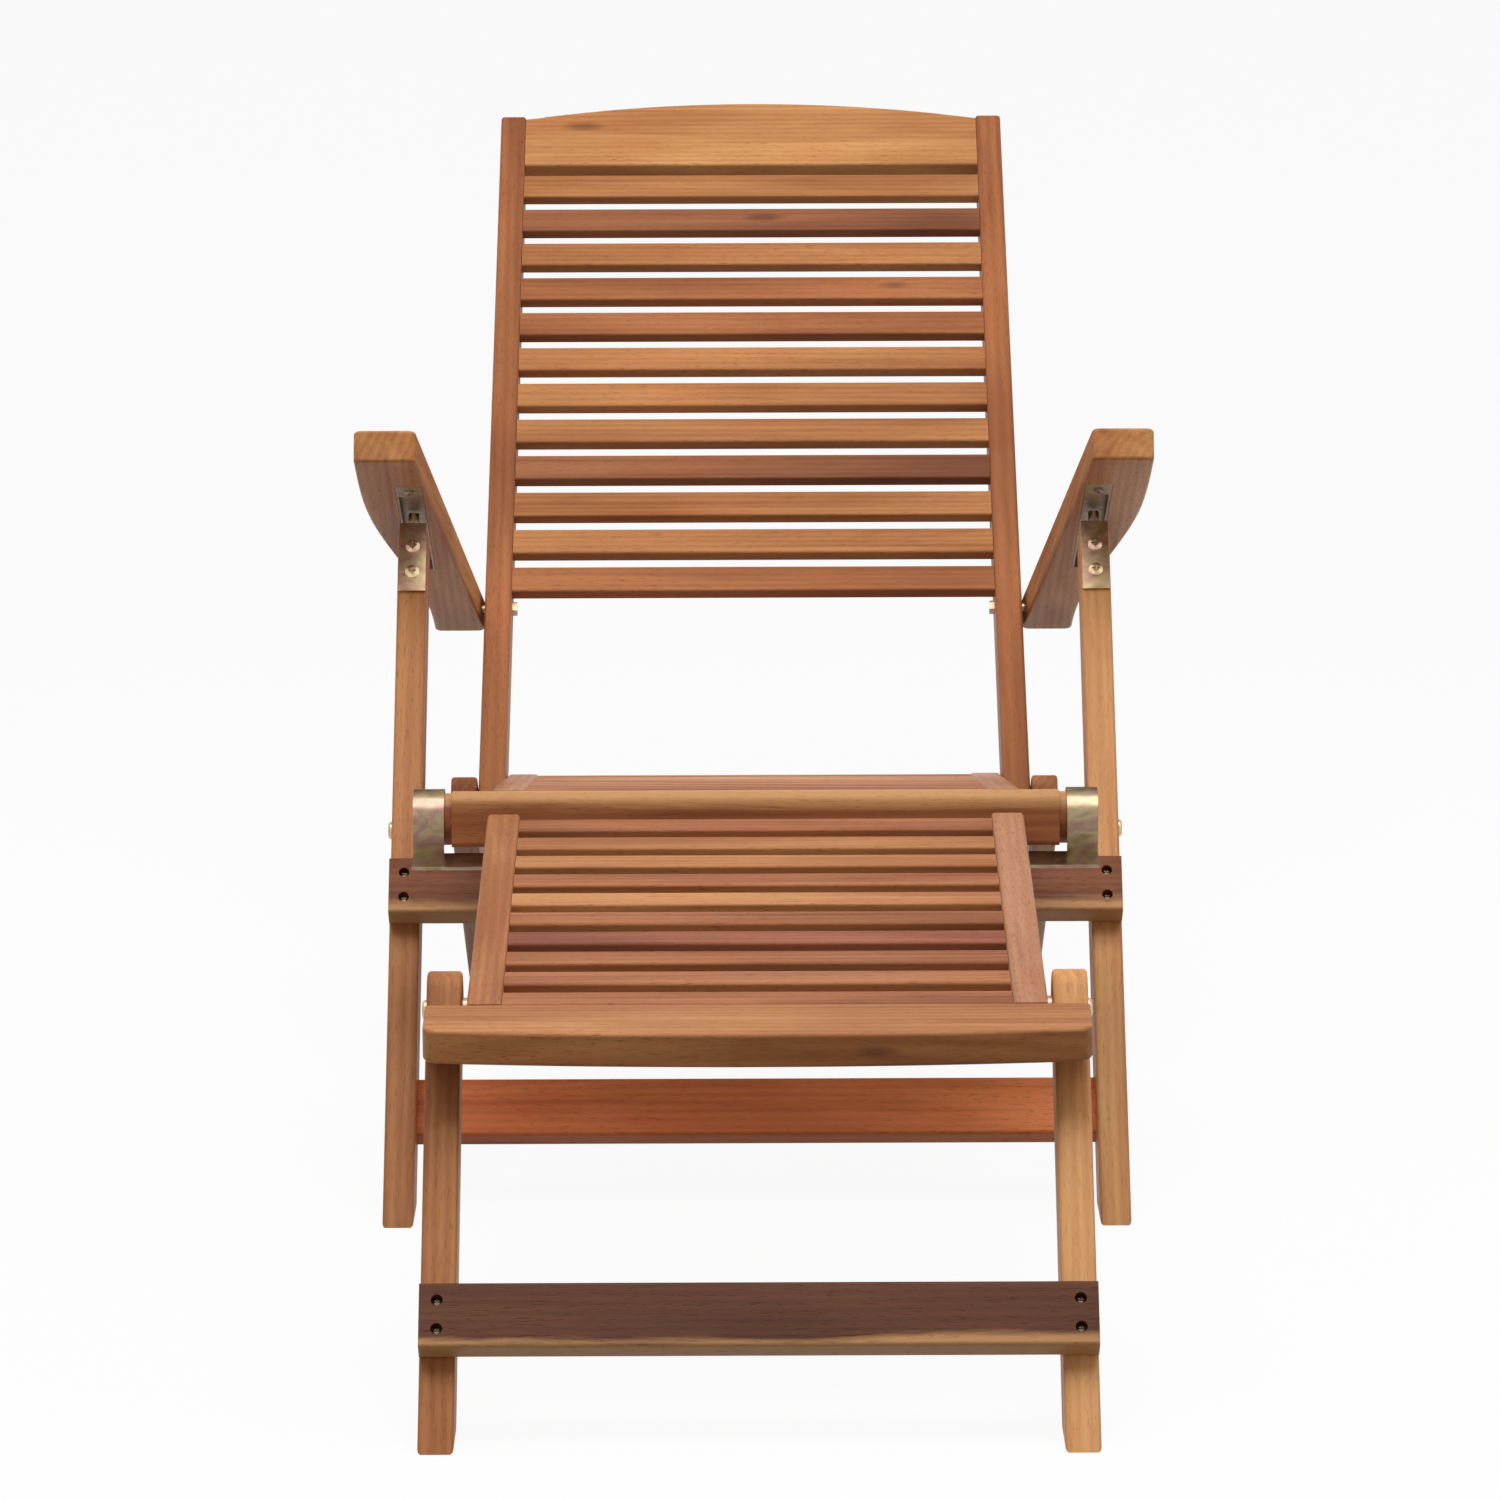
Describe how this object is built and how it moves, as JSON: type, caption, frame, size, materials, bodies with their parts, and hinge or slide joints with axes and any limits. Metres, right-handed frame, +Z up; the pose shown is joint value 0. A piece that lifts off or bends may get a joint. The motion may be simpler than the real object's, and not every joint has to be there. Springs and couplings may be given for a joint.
{
  "type": "sun lounger",
  "caption": "Folding wooden sun lounger with slatted seat, reclining slatted back, adjustable armrests and a hook-on leg rest with folding legs.",
  "frame": {"origin": "on the floor under the middle of the whole lounger's box", "axes": "+X across the lounger, +Y towards the head end, +Z up"},
  "size_m": [0.584, 1.744, 0.6747],
  "materials": {
    "acacia": "oiled hardwood, satin",
    "yellow_zinc": "yellow zinc plated steel"
  },
  "bodies": {
    "seat": {"seat_rail_left": "acacia", "seat_rail_right": "acacia", "seat_front_bar": "acacia", "seat_slats": "acacia", "back_pivot_bolts": "yellow_zinc"},
    "leg_frame": {"arm_leg_left": "acacia", "arm_leg_right": "acacia", "upper_crossbar": "acacia", "lower_crossbar": "acacia", "leg_top_bracket_left": "yellow_zinc", "leg_top_bracket_right": "yellow_zinc", "leg_pivot_bolts": "yellow_zinc", "crossbar_screws": "yellow_zinc", "bracket_screws": "yellow_zinc"},
    "back": {"back_stile_left": "acacia", "back_stile_right": "acacia", "back_slat_01": "acacia", "back_slat_02": "acacia", "back_slat_03": "acacia", "back_slat_04": "acacia", "back_slat_05": "acacia", "back_slat_06": "acacia", "back_slat_07": "acacia", "back_slat_08": "acacia", "back_slat_09": "acacia", "back_slat_10": "acacia", "back_slat_11": "acacia", "back_slat_12": "acacia", "top_rail": "acacia"},
    "rear_legs": {"rear_leg_left": "acacia", "rear_leg_right": "acacia", "rear_stretcher": "acacia"},
    "leg_rest": {"leg_rest_rail_left": "acacia", "leg_rest_rail_right": "acacia", "leg_rest_hook_left": "yellow_zinc", "leg_rest_hook_right": "yellow_zinc", "hook_screws": "yellow_zinc", "leg_rest_plank": "acacia", "leg_rest_pivot_bolts": "yellow_zinc", "leg_rest_slat_01": "acacia", "leg_rest_slat_02": "acacia", "leg_rest_slat_03": "acacia", "leg_rest_slat_04": "acacia", "leg_rest_slat_05": "acacia", "leg_rest_slat_06": "acacia", "leg_rest_slat_07": "acacia", "leg_rest_slat_08": "acacia", "leg_rest_slat_09": "acacia", "leg_rest_slat_10": "acacia"},
    "leg_rest_legs": {"leg_rest_leg_left": "acacia", "leg_rest_leg_right": "acacia", "leg_rest_crossbar": "acacia", "leg_rest_crossbar_screws": "yellow_zinc"},
    "arm_pivot_left": {"arm_pivot_bolt_left": "yellow_zinc"},
    "arm_left": {"armrest_left": "acacia", "arm_track_left": "yellow_zinc"},
    "arm_pivot_right": {"arm_pivot_bolt_right": "yellow_zinc"},
    "arm_right": {"armrest_right": "acacia", "arm_track_right": "yellow_zinc"}
  },
  "joints": [
    {"name": "frame_fold", "type": "hinge", "parent": "seat", "child": "leg_frame", "pos_m": [0, -0.08216, 0.24], "axis": [1, 0, 0], "range_deg": [0, 108]},
    {"name": "rear_leg_fold", "type": "hinge", "parent": "seat", "child": "rear_legs", "pos_m": [0, 0.16857, 0.20526], "axis": [1, 0, 0], "range_deg": [-40, 0]},
    {"name": "back_recline", "type": "hinge", "parent": "seat", "child": "back", "pos_m": [0, 0.16857, 0.20526], "axis": [1, 0, 0], "range_deg": [0, 38]},
    {"name": "leg_rest_lift", "type": "hinge", "parent": "seat", "child": "leg_rest", "pos_m": [0, -0.23267, 0.27942], "axis": [1, 0, 0], "range_deg": [-20, 0]},
    {"name": "leg_rest_leg_fold", "type": "hinge", "parent": "leg_rest", "child": "leg_rest_legs", "pos_m": [0, -0.64596, 0.23648], "axis": [1, 0, 0], "range_deg": [0, 115]},
    {"name": "arm_lift_left", "type": "hinge", "parent": "back", "child": "arm_pivot_left", "pos_m": [0, 0.35875, 0.32735], "axis": [1, 0, 0], "range_deg": [-119, 0]},
    {"name": "arm_tilt_left", "type": "hinge", "parent": "arm_pivot_left", "child": "arm_left", "pos_m": [0, 0.35875, 0.32735], "axis": [1, 0, 0], "range_deg": [-27.44, 0]},
    {"name": "arm_lift_right", "type": "hinge", "parent": "back", "child": "arm_pivot_right", "pos_m": [0, 0.35875, 0.32735], "axis": [1, 0, 0], "range_deg": [-119, 0]},
    {"name": "arm_tilt_right", "type": "hinge", "parent": "arm_pivot_right", "child": "arm_right", "pos_m": [0, 0.35875, 0.32735], "axis": [1, 0, 0], "range_deg": [-27.44, 0]}
  ],
  "couplings": [
    {"joint": "rear_leg_fold", "follows": "frame_fold", "ratio": -0.37037},
    {"joint": "arm_lift_left", "follows": "frame_fold", "ratio": -1.1018},
    {"joint": "arm_tilt_left", "follows": "back_recline", "ratio": -0.722},
    {"joint": "arm_lift_right", "follows": "frame_fold", "ratio": -1.1018},
    {"joint": "arm_tilt_right", "follows": "back_recline", "ratio": -0.722}
  ]
}
